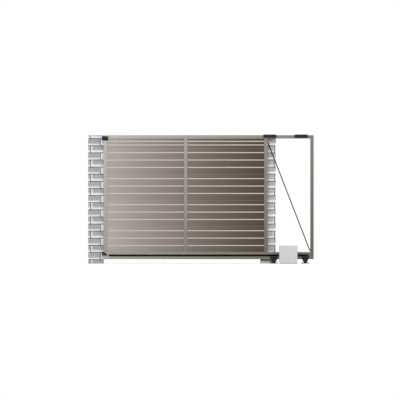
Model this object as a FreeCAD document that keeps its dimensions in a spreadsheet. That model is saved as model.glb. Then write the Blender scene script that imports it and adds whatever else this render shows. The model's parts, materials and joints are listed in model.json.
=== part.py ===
import FreeCAD
import Part
import Sketcher
import math
import os

# Sliding driveway gate with its two pillars, in millimetres.
# The origin is the middle of the guide pillar's base, on the ground.
# X is the opening direction, Y runs from the yard to the street and Z is up.

DOC = FreeCAD.newDocument("gate")
SHEET = DOC.addObject("Spreadsheet::Sheet", "Sizes")

SIZES = [
    # how far a cutting sketch reaches past its solid
    ("cut_over", 5),
    # gateway and pillars
    ("opening_width", 3000),
    ("pillar_height", 2460),
    ("pillar_side", 300),
    ("leaf_setback", 78),
    # leaf outline
    ("ground_gap", 82),
    ("leaf_length", 4025),
    ("infill_overlap", 141),
    # frame tubes
    ("tube_face", 65),
    ("tube_depth", 60),
    ("tube_wall", 3),
    ("tube_corner", 4),
    ("rail_height", 52),
    # running beam
    ("beam_height", 85),
    ("beam_width", 95),
    ("beam_wall", 5),
    ("beam_slot", 26),
    ("beam_corner", 8),
    ("beam_cap", 4),
    # infill panels
    ("panel_thickness", 40),
    ("panel_module", 499),
    ("top_panel", 188),
    ("rib_width", 20),
    ("rib_floor", 10),
    ("rib_depth", 4),
    ("rib_from_top", 81),
    ("rib_pitch", 142),
    ("top_rib_first", 65),
    ("top_rib_pitch", 70),
    ("tongue_height", 10),
    ("tongue_width", 14),
    ("tongue_taper", 1),
    ("joint_chamfer", 3),
    ("fit_gap", 0.3),
    # tail brace
    ("brace_radius", 10),
    ("brace_drop", 88),
    ("brace_rise", 38),
    ("lug_reach", 12),
    ("lug_half", 11),
    ("lug_spread", 30),
    ("lug_thick", 12),
    # gear rack and pinion
    ("rack_rise", 56),
    ("rack_start", 104),
    ("rack_height", 34),
    ("rack_thick", 22),
    ("rack_standoff", 8),
    ("rack_module", 4),
    ("boss_radius", 9),
    ("boss_drop", 9),
    ("pinion_width", 22),
    ("pinion_inset", 1.5),
    ("pinion_backlash", 0.4),
    ("shaft_radius", 12),
    ("shaft_reach", 40),
    ("shaft_play", 0.08),
    ("shaft_tail", 4),
    ("shaft_end_gap", 2),
    # drive unit
    ("drive_offset", 363),
    ("drive_width", 350),
    ("drive_height", 344),
    ("drive_depth", 220),
    ("drive_gap", 8),
    ("drive_plate", 8),
    ("plate_inset", 3),
    ("drive_body_height", 132),
    ("drive_corner", 16),
    ("cover_edge", 10),
    ("cover_seam", 2),
    # roller carriages
    ("carriage_offset", 264),
    ("carriage_spacing", 600),
    ("cheek_top", 145),
    ("cheek_foot", 60),
    ("cheek_shoulder", 118),
    ("cheek_thick", 8),
    ("cheek_corner", 8),
    ("running_gap", 6),
    ("saddle_height", 60),
    ("foot_length", 150),
    ("foot_thick", 8),
    ("anchor_inset", 17),
    ("anchor_radius", 7),
    ("web_thick", 12),
    ("web_length", 104),
    ("axle_radius", 6),
    ("axle_end", 2),
    ("bore_play", 0.1),
    ("roller_radius", 35),
    ("roller_width", 22),
    ("roller_chamfer", 2),
    ("roller_play", 0.4),
    ("hub_gap", 2),
    ("axle_spread", 37),
    # top guides
    ("guide_offset", 185),
    ("guide_length", 250),
    ("guide_drop", 49),
    ("guide_plate", 6),
    ("guide_bend", 2),
    ("guide_roller_radius", 15),
    ("guide_roller_height", 38),
    ("guide_play", 0.5),
    ("guide_side_gap", 2),
    ("guide_stud_radius", 5),
    ("guide_stud_spread", 75),
    ("guide_stud_end", 2),
    # catchers
    ("catcher_back", 33),
    ("catcher_plate", 6),
    ("catcher_bend", 2),
    ("catcher_tongue", 100),
    ("catcher_flare", 10),
    ("upper_reach", 82),
    ("upper_height", 80),
    ("upper_drop", 22),
    ("lower_reach", 72),
    ("lower_height", 68),
    ("lower_rise", 73),
    ("lower_top", 33),
    ("lower_tip", 8),
]

FULL_PANELS = 4
RACK_SEGMENTS = 4
TEETH_PER_SEGMENT = 76
PINION_TEETH = 18
PRESSURE_ANGLE = math.radians(20)
# depths under the pitch line in gear modules: the tooth root, and where a pinion tooth starts inside its hub
DEDENDUM = 1.25
TOOTH_FOOT = 1.6
FLANK_STEPS = 5


class Size:
    """A length and the sheet expression it comes from, so that sums of sizes stay bound to the sheet."""

    def __init__(self, text, value):
        self.text = text
        self.value = float(value)

    def __add__(self, other):
        other = size(other)
        return Size(f"({self.text} + {other.text})", self.value + other.value)

    def __sub__(self, other):
        other = size(other)
        return Size(f"({self.text} - {other.text})", self.value - other.value)

    def __mul__(self, other):
        other = size(other)
        return Size(f"({self.text} * {other.text})", self.value * other.value)

    def __truediv__(self, other):
        other = size(other)
        return Size(f"({self.text} / {other.text})", self.value / other.value)

    def __neg__(self):
        return Size(f"(0 - {self.text})", -self.value)

    def root(self):
        return Size(f"sqrt({self.text})", math.sqrt(self.value))

    def whole(self):
        return Size(f"floor({self.text} + 0.5)", math.floor(self.value + 0.5))


def size(number):
    if isinstance(number, Size):
        return number
    return Size(str(number) if number >= 0 else f"(0 - {-number})", number)


class Sheet:
    """The sheet's cells by their aliases."""


S = Sheet()
for row, (alias, number) in enumerate(SIZES, start=1):
    SHEET.set(f"A{row}", alias)
    SHEET.set(f"B{row}", str(number))
    SHEET.setAlias(f"B{row}", alias)
    setattr(S, alias, Size(f"Sizes.{alias}", number))
DOC.recompute()

ZERO = size(0)
PI = Size("pi", math.pi)
NODES = []


def keep(shape_object, name):
    """Marks an object as a finished piece, under the name of its file."""
    shape_object.Label = name
    NODES.append((name, shape_object))


def place(shape_object, x=ZERO, y=ZERO, z=ZERO):
    for axis, value in (("x", x), ("y", y), ("z", z)):
        shape_object.setExpression(f"Placement.Base.{axis}", size(value).text)


# Sketch helpers


def body(name):
    return DOC.addObject("PartDesign::Body", name + "_body")


def sketch(owner, plane, offset=None):
    made = owner.newObject("Sketcher::SketchObject", owner.Name + "_sketch")
    for feature in owner.Origin.OriginFeatures:
        if feature.Role == plane:
            made.AttachmentSupport = [(feature, "")]
    made.MapMode = "FlatFace"
    if offset is not None:
        made.setExpression("AttachmentOffset.Base.z", offset.text)
    return made


def bind(made, constraints):
    """Adds constraints given as (constraint, size or None) and ties each sized one to the sheet."""
    first = made.ConstraintCount
    made.addConstraint([constraint for constraint, _ in constraints])
    for number, (_, value) in enumerate(constraints, start=first):
        if value is not None:
            made.renameConstraint(number, f"size_{number}")
            made.setExpression(f"Constraints.size_{number}", value.text)


def pinned(geometry, point, across, up):
    return [
        (Sketcher.Constraint("DistanceX", -1, 1, geometry, point, across.value), across),
        (Sketcher.Constraint("DistanceY", -1, 1, geometry, point, up.value), up),
    ]


def polygon(made, points):
    points = [(size(a), size(b)) for a, b in points]
    first = made.GeometryCount
    count = len(points)
    vectors = [FreeCAD.Vector(a.value, b.value, 0) for a, b in points]
    made.addGeometry([Part.LineSegment(vectors[i], vectors[(i + 1) % count]) for i in range(count)])
    constraints = []
    for i in range(count):
        following = first + (i + 1) % count
        constraints.append((Sketcher.Constraint("Coincident", first + i, 2, following, 1), None))
    for i, (across, up) in enumerate(points):
        constraints += pinned(first + i, 1, across, up)
    bind(made, constraints)


def circle(made, across, up, radius):
    across, up, radius = size(across), size(up), size(radius)
    number = made.GeometryCount
    middle = FreeCAD.Vector(across.value, up.value, 0)
    made.addGeometry(Part.Circle(middle, FreeCAD.Vector(0, 0, 1), radius.value))
    constraints = pinned(number, 3, across, up)
    constraints.append((Sketcher.Constraint("Radius", number, radius.value), radius))
    bind(made, constraints)


def rounded(made, low, high, radius):
    """A rectangle between two corners, with a fillet arc at each."""
    (x0, y0), (x1, y1) = [(size(a), size(b)) for a, b in (low, high)]
    radius = size(radius)
    first = made.GeometryCount
    r = radius.value
    west, east = x0 + radius, x1 - radius
    south, north = y0 + radius, y1 - radius
    centres = [(east, north), (west, north), (west, south), (east, south)]
    geometry = []
    for turn, (a, b) in enumerate(centres):
        whole = Part.Circle(FreeCAD.Vector(a.value, b.value, 0), FreeCAD.Vector(0, 0, 1), r)
        geometry.append(Part.ArcOfCircle(whole, turn * math.pi / 2, (turn + 1) * math.pi / 2))
    for turn in range(4):
        start = geometry[turn].EndPoint
        end = geometry[(turn + 1) % 4].StartPoint
        geometry.append(Part.LineSegment(start, end))
    made.addGeometry(geometry)
    constraints = []
    for turn, (a, b) in enumerate(centres):
        constraints += pinned(first + turn, 3, a, b)
        constraints.append((Sketcher.Constraint("Radius", first + turn, r), radius))
    for turn in range(4):
        line = first + 4 + turn
        constraints.append((Sketcher.Constraint("Tangent", first + turn, 2, line, 1), None))
        constraints.append((Sketcher.Constraint("Tangent", line, 2, first + (turn + 1) % 4, 1), None))
    bind(made, constraints)


def pad(owner, profile, length, symmetric=False, back=False):
    made = owner.newObject("PartDesign::Pad", owner.Name + "_pad")
    made.Profile = profile
    made.setExpression("Length", size(length).text)
    if symmetric:
        made.SideType = "Symmetric"
    made.Reversed = back
    return made


def pocket(owner, profile, length, symmetric=True, back=False):
    made = owner.newObject("PartDesign::Pocket", owner.Name + "_pocket")
    made.Profile = profile
    made.setExpression("Length", size(length).text)
    if symmetric:
        made.SideType = "Symmetric"
    made.Reversed = back
    return made


def runs_along(edge, axis):
    """True for a straight edge that runs along one axis."""
    box = edge.BoundBox
    spans = {"x": box.XLength, "y": box.YLength, "z": box.ZLength}
    return all(span < 0.01 for name, span in spans.items() if name != axis)


def soften(owner, base, radius, wanted):
    """Fillets those edges of a feature that the wanted test picks, and makes the fillet the body's tip."""
    DOC.recompute()
    names = [f"Edge{number}" for number, edge in enumerate(base.Shape.Edges, start=1) if wanted(edge)]
    made = owner.newObject("PartDesign::Fillet", owner.Name + "_fillet")
    made.Base = (base, names)
    made.setExpression("Radius", size(radius).text)
    owner.Tip = made
    return made


def near(value, place):
    return abs(value - place.value) < 0.01


def block(name, corner, extent):
    made = DOC.addObject("Part::Box", name)
    for side, value in zip(("Length", "Width", "Height"), extent):
        made.setExpression(side, size(value).text)
    place(made, *corner)
    return made


def ring(name, axis, inner, outer, width, chamfer):
    """A roller turned about its axis, with chamfered rims, its middle at the body's origin."""
    owner = body(name)
    plane, line = {"Y": ("XY_Plane", "V_Axis"), "Z": ("XZ_Plane", "V_Axis")}[axis]
    made = sketch(owner, plane)
    half = width / 2
    polygon(
        made,
        [
            (inner, -half),
            (outer - chamfer, -half),
            (outer, -half + chamfer),
            (outer, half - chamfer),
            (outer - chamfer, half),
            (inner, half),
        ],
    )
    turned = owner.newObject("PartDesign::Revolution", owner.Name + "_turned")
    turned.Profile = made
    turned.ReferenceAxis = (made, [line])
    turned.Angle = 360
    return owner


def group(name, members):
    made = DOC.addObject("Part::Compound", name)
    made.Links = members
    keep(made, name)


# Shared positions

GATE_X = -(S.pillar_side / 2)
LEAF_X = GATE_X - S.opening_width
LEAF_Y = -(S.pillar_side / 2 + S.leaf_setback)
LEAF_TOP = S.pillar_height
BEAM_TOP = S.ground_gap + S.beam_height
RAIL_TOP = BEAM_TOP + S.rail_height
HEAD_LOW = LEAF_TOP - S.tube_face
TAIL_X = S.leaf_length - S.tube_face
INFILL = S.opening_width + S.infill_overlap
REAR_STILE_X = INFILL - S.tube_face
MIDDLE_STILE_X = REAR_STILE_X / 2
HALF_DEPTH = S.tube_depth / 2
HALF_BEAM = S.beam_width / 2

# Pillars


def pillars():
    half = S.pillar_side / 2
    sides = (S.pillar_side, S.pillar_side, S.pillar_height)
    keep(block("guide_post", (-half, -half, ZERO), sides), "guide_pillar")
    keep(block("catch_post", (LEAF_X - S.pillar_side, -half, ZERO), sides), "catch_pillar")


# Leaf frame


def tube_along_x(name, low, high, mitres):
    """A hollow rail over the leaf's length, mitred by the given triangles in the leaf's plane."""
    owner = body(name)
    profile = sketch(owner, "YZ_Plane")
    rounded(profile, (-HALF_DEPTH, low), (HALF_DEPTH, high), S.tube_corner)
    wall = S.tube_wall
    inside = HALF_DEPTH - wall
    rounded(profile, (-inside, low + wall), (inside, high - wall), S.tube_corner / 2)
    pad(owner, profile, S.leaf_length)
    cutter = sketch(owner, "XZ_Plane")
    for triangle in mitres:
        polygon(cutter, triangle)
    pocket(owner, cutter, S.tube_depth * 2)
    place(owner, LEAF_X, LEAF_Y)
    keep(owner, name)


def tube_along_z(name, left, low, high, mitres=()):
    """A hollow stile between two heights, with its left face at the given place along the leaf."""
    owner = body(name)
    profile = sketch(owner, "XY_Plane", low)
    right = left + S.tube_face
    rounded(profile, (left, -HALF_DEPTH), (right, HALF_DEPTH), S.tube_corner)
    wall = S.tube_wall
    inside = HALF_DEPTH - wall
    rounded(profile, (left + wall, -inside), (right - wall, inside), S.tube_corner / 2)
    pad(owner, profile, high - low)
    if mitres:
        cutter = sketch(owner, "XZ_Plane")
        for triangle in mitres:
            polygon(cutter, triangle)
        pocket(owner, cutter, S.tube_depth * 2)
    place(owner, LEAF_X, LEAF_Y)
    keep(owner, name)


def frame():
    over = S.cut_over
    left, left_in = -over, S.tube_face + over
    right, right_in = S.leaf_length + over, TAIL_X - over
    top, top_in = LEAF_TOP + over, HEAD_LOW - over
    # the lower corners are not square, so their mitres follow the corner's own diagonal
    rise = over * S.rail_height / S.tube_face
    foot, foot_in = BEAM_TOP - rise, RAIL_TOP + rise
    tube_along_x(
        "top_rail",
        HEAD_LOW,
        LEAF_TOP,
        [
            [(left, top), (left, top_in), (left_in, top_in)],
            [(right, top), (right_in, top_in), (right, top_in)],
        ],
    )
    tube_along_x(
        "bottom_rail",
        BEAM_TOP,
        RAIL_TOP,
        [
            [(left, foot), (left_in, foot_in), (left, foot_in)],
            [(right, foot), (right, foot_in), (right_in, foot_in)],
        ],
    )
    tube_along_z(
        "leading_stile",
        ZERO,
        BEAM_TOP,
        LEAF_TOP,
        [
            [(left, top), (left_in, top_in), (left_in, top)],
            [(left, foot), (left_in, foot), (left_in, foot_in)],
        ],
    )
    tube_along_z(
        "tail_stile",
        TAIL_X,
        BEAM_TOP,
        LEAF_TOP,
        [
            [(right, top), (right_in, top), (right_in, top_in)],
            [(right, foot), (right_in, foot_in), (right_in, foot)],
        ],
    )
    tube_along_z("middle_stile", MIDDLE_STILE_X, RAIL_TOP, HEAD_LOW)
    tube_along_z("rear_stile", REAR_STILE_X, RAIL_TOP, HEAD_LOW)


def beam():
    owner = body("bottom_beam")
    profile = sketch(owner, "YZ_Plane")
    low = S.ground_gap
    lip = low + S.beam_wall
    roof = BEAM_TOP - S.beam_wall
    slot = S.beam_slot / 2
    inner = HALF_BEAM - S.beam_wall
    polygon(
        profile,
        [
            (slot, low),
            (HALF_BEAM, low),
            (HALF_BEAM, BEAM_TOP),
            (-HALF_BEAM, BEAM_TOP),
            (-HALF_BEAM, low),
            (-slot, low),
            (-slot, lip),
            (-inner, lip),
            (-inner, roof),
            (inner, roof),
            (inner, lip),
            (slot, lip),
        ],
    )
    length = pad(owner, profile, S.leaf_length - S.beam_cap * 2)

    def outer(edge):
        box = edge.BoundBox
        high = near(box.ZMin, BEAM_TOP) or near(box.ZMin, low)
        return runs_along(edge, "x") and high and near(abs(box.YMin), HALF_BEAM)

    def inside(edge):
        box = edge.BoundBox
        high = near(box.ZMin, roof) or near(box.ZMin, lip)
        return runs_along(edge, "x") and high and near(abs(box.YMin), inner)

    rolled = soften(owner, length, S.beam_corner, outer)
    soften(owner, rolled, S.beam_corner - S.beam_wall, inside)
    place(owner, LEAF_X + S.beam_cap, LEAF_Y)
    keep(owner, "bottom_beam")
    caps = []
    for end, start in (("front", ZERO), ("rear", S.leaf_length - S.beam_cap)):
        corner = (LEAF_X + start, LEAF_Y - HALF_BEAM, S.ground_gap)
        caps.append(block(f"cap_{end}", corner, (S.beam_cap, S.beam_width, S.beam_height)))
    group("beam_end_caps", caps)


# Infill panels


def panel(name, left, length, low, high, ribs, tongue, groove):
    """One sandwich panel: ribs rolled into both faces, a tongue on top and a groove below."""
    owner = body(name)
    profile = sketch(owner, "YZ_Plane")
    half = S.panel_thickness / 2
    floor = half - S.rib_depth
    bevel = S.joint_chamfer
    neck = S.tongue_width / 2
    tip = neck - S.tongue_taper
    front = [(-half, low + bevel)]
    for middle in ribs:
        front += [
            (-half, middle - S.rib_width / 2),
            (-floor, middle - S.rib_floor / 2),
            (-floor, middle + S.rib_floor / 2),
            (-half, middle + S.rib_width / 2),
        ]
    front += [(-half, high - bevel), (-half + bevel, high)]
    if tongue:
        front += [(-neck, high), (-tip, high + S.tongue_height)]
    foot = []
    if groove:
        roof = low + S.tongue_height + S.fit_gap
        foot += [(neck + S.fit_gap, low), (tip + S.fit_gap, roof)]
    foot.append((half - bevel, low))
    back = [(-a, b) for a, b in reversed(front)]
    under = [(-half + bevel, low)] + [(-a, b) for a, b in foot[:-1]]
    polygon(profile, front + back + [foot[-1]] + foot[:-1] + list(reversed(under)))
    pad(owner, profile, length)
    place(owner, LEAF_X + left, LEAF_Y)
    keep(owner, name)


def panels():
    bays = [
        ("left", S.tube_face, MIDDLE_STILE_X - S.tube_face),
        ("right", MIDDLE_STILE_X + S.tube_face, REAR_STILE_X - MIDDLE_STILE_X - S.tube_face),
    ]
    joint = HEAD_LOW - S.top_panel
    for bay, left, length in bays:
        for row in range(FULL_PANELS):
            high = joint - S.panel_module * (FULL_PANELS - 1 - row)
            low = RAIL_TOP if row == 0 else high - S.panel_module
            ribs = [high - S.rib_from_top - S.rib_pitch * step for step in (2, 1, 0)]
            lowest = low + S.joint_chamfer + S.rib_width
            ribs = [rib for rib in ribs if rib.value > lowest.value]
            panel(f"{bay}_panel_{row + 1}", left, length, low, high, ribs, True, row > 0)
        ribs = [joint + S.top_rib_first + S.top_rib_pitch * step for step in (0, 1)]
        highest = HEAD_LOW - S.joint_chamfer - S.rib_width
        ribs = [rib for rib in ribs if rib.value < highest.value]
        panel(f"{bay}_panel_{FULL_PANELS + 1}", left, length, joint, HEAD_LOW, ribs, False, True)


# Tail brace


def brace():
    top_x = INFILL + S.lug_reach
    top_z = HEAD_LOW - S.brace_drop
    end_x = TAIL_X - S.lug_reach
    end_z = RAIL_TOP + S.brace_rise
    run = end_x - top_x
    fall = top_z - end_z
    span = (run * run + fall * fall).root()
    side_x = fall / span * S.lug_half
    side_z = run / span * S.lug_half
    owner = body("brace_rod")
    spine = sketch(owner, "XZ_Plane")
    ends = [FreeCAD.Vector(a.value, b.value, 0) for a, b in ((top_x, top_z), (end_x, end_z))]
    spine.addGeometry(Part.LineSegment(ends[0], ends[1]))
    bind(spine, pinned(0, 1, top_x, top_z) + pinned(0, 2, end_x, end_z))
    section = owner.newObject("Sketcher::SketchObject", "brace_section")
    section.AttachmentSupport = [(spine, "Edge1")]
    section.MapMode = "NormalToEdge"
    circle(section, ZERO, ZERO, S.brace_radius)
    pipe = owner.newObject("PartDesign::AdditivePipe", "brace_pipe")
    pipe.Profile = section
    pipe.Spine = (spine, ["Edge1"])
    place(owner, LEAF_X, LEAF_Y)
    keep(owner, "brace_rod")
    lugs = []
    for end, wall, x, z in (("top", INFILL, top_x, top_z), ("foot", TAIL_X, end_x, end_z)):
        lug = body(f"lug_{end}")
        plate = sketch(lug, "XZ_Plane")
        upper = (wall, z + S.lug_spread)
        lower = (wall, z - S.lug_spread)
        polygon(plate, [upper, (x + side_x, z + side_z), (x - side_x, z - side_z), lower])
        pad(lug, plate, S.lug_thick, symmetric=True)
        place(lug, LEAF_X, LEAF_Y)
        lugs.append(lug)
    group("brace_lugs", lugs)


# Gear rack and pinion

PITCH = PI * S.rack_module
PINION_RADIUS = S.rack_module * PINION_TEETH / 2
RACK_TIP = S.ground_gap + S.rack_rise
PINION_X = GATE_X + S.drive_offset + S.drive_width / 2
PINION_Z = RACK_TIP + S.rack_module - PINION_RADIUS
RACK_BACK = LEAF_Y - HALF_BEAM - S.rack_standoff
RACK_FRONT = RACK_BACK - S.rack_thick


def rack():
    """Rack segments with their teeth down, timed so that one tooth stands over the pinion's axis."""
    slope = math.tan(PRESSURE_ANGLE)
    root = RACK_TIP + S.rack_module * (1 + DEDENDUM)
    top = RACK_TIP + S.rack_height
    narrow = PITCH / 4 - S.rack_module * slope
    wide = PITCH / 4 + S.rack_module * (DEDENDUM * slope)
    steps = ((PINION_X - LEAF_X - S.rack_start) / PITCH - 0.5).whole()
    start = PINION_X - (steps + 0.5) * PITCH
    length = PITCH * TEETH_PER_SEGMENT
    for segment in range(RACK_SEGMENTS):
        name = f"gear_rack_{segment + 1}"
        owner = body(name)
        bar = sketch(owner, "XZ_Plane")
        polygon(bar, [(ZERO, root), (length, root), (length, top), (ZERO, top)])
        pad(owner, bar, S.rack_thick)
        seats = sketch(owner, "XZ_Plane")
        for share in (1, 3, 5):
            circle(seats, length * share / 6, top - S.boss_drop - S.boss_radius, S.boss_radius)
        pad(owner, seats, S.rack_standoff, back=True)
        flank = sketch(owner, "XZ_Plane")
        middle = PITCH / 2
        polygon(
            flank,
            [
                (middle - wide, root),
                (middle - narrow, RACK_TIP),
                (middle + narrow, RACK_TIP),
                (middle + wide, root),
            ],
        )
        tooth = pad(owner, flank, S.rack_thick)
        row = owner.newObject("PartDesign::LinearPattern", name + "_row")
        row.Originals = [tooth]
        row.Direction = (flank, ["H_Axis"])
        row.Occurrences = TEETH_PER_SEGMENT
        row.setExpression("Length", (PITCH * (TEETH_PER_SEGMENT - 1)).text)
        owner.Tip = row
        place(owner, start + length * segment, RACK_BACK)
        keep(owner, name)


def pinion():
    """Involute pinion on its shaft, with a tooth gap upright over the axis."""
    pitch_radius = PINION_TEETH / 2
    base = pitch_radius * math.cos(PRESSURE_ANGLE)
    outer = pitch_radius + 1
    upright = math.pi / PINION_TEETH
    involute = math.tan(PRESSURE_ANGLE) - PRESSURE_ANGLE

    def flank_point(radius, side):
        """A point of one flank at a radius in modules, with the backlash taken off its thickness."""
        angle = math.acos(min(1.0, base / radius)) if radius > base else 0.0
        half = upright / 2 + involute - (math.tan(angle) - angle)
        turn = upright + side * half
        slack = side * radius / (4 * pitch_radius)
        across = S.rack_module * (radius * math.sin(turn)) - S.pinion_backlash * (slack * math.cos(turn))
        up = S.rack_module * (radius * math.cos(turn)) + S.pinion_backlash * (slack * math.sin(turn))
        return across, up

    radii = [pitch_radius - TOOTH_FOOT]
    radii += [base + (outer - base) * step / FLANK_STEPS for step in range(FLANK_STEPS + 1)]
    left = [flank_point(radius, -1) for radius in radii]
    right = [flank_point(radius, 1) for radius in reversed(radii)]
    owner = body("drive_pinion")
    hub = sketch(owner, "XZ_Plane")
    circle(hub, ZERO, ZERO, S.rack_module * (pitch_radius - DEDENDUM))
    pad(owner, hub, S.pinion_width)
    rear = RACK_BACK - S.pinion_inset
    end = sketch(owner, "XZ_Plane", -S.shaft_tail)
    circle(end, ZERO, ZERO, S.shaft_radius)
    pad(owner, end, S.shaft_tail + rear - (DRIVE_REAR - S.shaft_reach + S.shaft_end_gap))
    profile = sketch(owner, "XZ_Plane")
    polygon(profile, left + right)
    tooth = pad(owner, profile, S.pinion_width)
    wheel = owner.newObject("PartDesign::PolarPattern", "pinion_teeth")
    wheel.Originals = [tooth]
    wheel.Axis = (profile, ["N_Axis"])
    wheel.Angle = 360
    wheel.Occurrences = PINION_TEETH
    owner.Tip = wheel
    place(owner, PINION_X, rear, PINION_Z)
    keep(owner, "drive_pinion")


# Drive unit

DRIVE_REAR = RACK_FRONT - S.drive_gap
DRIVE_FRONT = DRIVE_REAR - S.drive_depth
DRIVE_X = GATE_X + S.drive_offset
SEAM_Z = S.drive_plate + S.drive_body_height


def drive():
    inset = S.plate_inset
    plate = block(
        "drive_foot",
        (DRIVE_X + inset, DRIVE_FRONT + inset, ZERO),
        (S.drive_width - inset * 2, S.drive_depth - inset * 2, S.drive_plate),
    )
    keep(plate, "drive_base_plate")
    low = body("drive_body")
    profile = sketch(low, "XY_Plane", S.drive_plate)
    right = DRIVE_X + S.drive_width
    rounded(profile, (DRIVE_X, DRIVE_FRONT), (right, DRIVE_REAR), S.drive_corner)
    pad(low, profile, S.drive_body_height)
    bore = sketch(low, "XZ_Plane", -DRIVE_REAR)
    circle(bore, PINION_X, PINION_Z, S.shaft_radius + S.shaft_play)
    pocket(low, bore, S.shaft_reach, symmetric=False, back=True)
    keep(low, "drive_body")
    top = body("drive_cover")
    neck = sketch(top, "XY_Plane", SEAM_Z)
    seam = S.cover_seam
    rounded(
        neck, (DRIVE_X + seam, DRIVE_FRONT + seam), (right - seam, DRIVE_REAR - seam), S.drive_corner - seam
    )
    pad(top, neck, seam * 2)
    shell = sketch(top, "XY_Plane", SEAM_Z + seam)
    rounded(shell, (DRIVE_X, DRIVE_FRONT), (right, DRIVE_REAR), S.drive_corner)
    hood = pad(top, shell, S.drive_height - SEAM_Z - seam)
    soften(top, hood, S.cover_edge, lambda edge: near(edge.BoundBox.ZMin, S.drive_height))
    keep(top, "drive_cover")


# Roller carriages

CHEEK_IN = HALF_BEAM + S.running_gap
CHEEK_OUT = CHEEK_IN + S.cheek_thick
CHEEK_TOP = RACK_TIP - S.running_gap
AXLE_Z = BEAM_TOP - S.beam_wall - S.roller_play - S.roller_radius


def carriage(name, middle):
    """A foot plate with a forked stand outside the beam and a web that carries the rollers inside it."""
    owner = body(name)
    half_foot = S.foot_length / 2
    foot = sketch(owner, "XY_Plane")
    polygon(
        foot,
        [
            (-half_foot, -CHEEK_OUT),
            (half_foot, -CHEEK_OUT),
            (half_foot, CHEEK_OUT),
            (-half_foot, CHEEK_OUT),
        ],
    )
    for across in (-half_foot + S.anchor_inset, half_foot - S.anchor_inset):
        for along in (-CHEEK_IN + S.anchor_inset, CHEEK_IN - S.anchor_inset):
            circle(foot, across, along, S.anchor_radius)
    pad(owner, foot, S.foot_thick)
    stand = sketch(owner, "XZ_Plane")
    base = S.cheek_foot / 2
    top = S.cheek_top / 2
    polygon(
        stand,
        [
            (-base, S.foot_thick),
            (base, S.foot_thick),
            (top, S.cheek_shoulder),
            (top, CHEEK_TOP),
            (-top, CHEEK_TOP),
            (-top, S.cheek_shoulder),
        ],
    )
    pad(owner, stand, CHEEK_OUT * 2, symmetric=True)
    gap = sketch(owner, "YZ_Plane")
    polygon(
        gap,
        [
            (-CHEEK_IN, S.saddle_height),
            (CHEEK_IN, S.saddle_height),
            (CHEEK_IN, CHEEK_TOP + S.cut_over),
            (-CHEEK_IN, CHEEK_TOP + S.cut_over),
        ],
    )
    fork = pocket(owner, gap, S.cheek_top + S.cut_over * 2)

    def shoulder(edge):
        box = edge.BoundBox
        return runs_along(edge, "y") and near(box.ZMin, CHEEK_TOP) and near(abs(box.XMin), top)

    soften(owner, fork, S.cheek_corner, shoulder)
    web = sketch(owner, "XZ_Plane")
    half_web = S.web_length / 2
    ledge = S.ground_gap + S.beam_wall
    web_top = AXLE_Z + S.axle_radius * 2
    polygon(
        web,
        [
            (-base, S.saddle_height),
            (base, S.saddle_height),
            (half_web, ledge),
            (half_web, web_top),
            (-half_web, web_top),
            (-half_web, ledge),
        ],
    )
    bore = S.axle_radius + S.bore_play
    for across in (-S.axle_spread, S.axle_spread):
        circle(web, across, AXLE_Z, bore)
    pad(owner, web, S.web_thick, symmetric=True)
    place(owner, GATE_X + middle, LEAF_Y)
    keep(owner, name)
    rollers = []
    axles = []
    inner_side = S.web_thick / 2 + S.hub_gap
    for column, across in (("a", -S.axle_spread), ("b", S.axle_spread)):
        x = GATE_X + middle + across
        for side, sign in (("yard", -1), ("street", 1)):
            label = f"{name}_{side}_{column}"
            roller = ring(label, "Y", bore, S.roller_radius, S.roller_width, S.roller_chamfer)
            place(roller, x, LEAF_Y + (inner_side + S.roller_width / 2) * sign, AXLE_Z)
            rollers.append(roller)
        axle = body(f"{name}_axle_{column}")
        end = sketch(axle, "XZ_Plane")
        circle(end, ZERO, ZERO, S.axle_radius)
        pad(axle, end, (inner_side + S.roller_width + S.axle_end) * 2, symmetric=True)
        place(axle, x, LEAF_Y, AXLE_Z)
        axles.append(axle)
    group(f"{name}_rollers", rollers)
    group(f"{name}_axles", axles)


# Top guides

GUIDE_HALF = HALF_DEPTH + S.guide_play + S.guide_roller_radius * 2 + S.guide_side_gap + S.guide_plate
GUIDE_LOW = LEAF_TOP - S.guide_drop
GUIDE_ROOF = LEAF_TOP + S.running_gap


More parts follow.
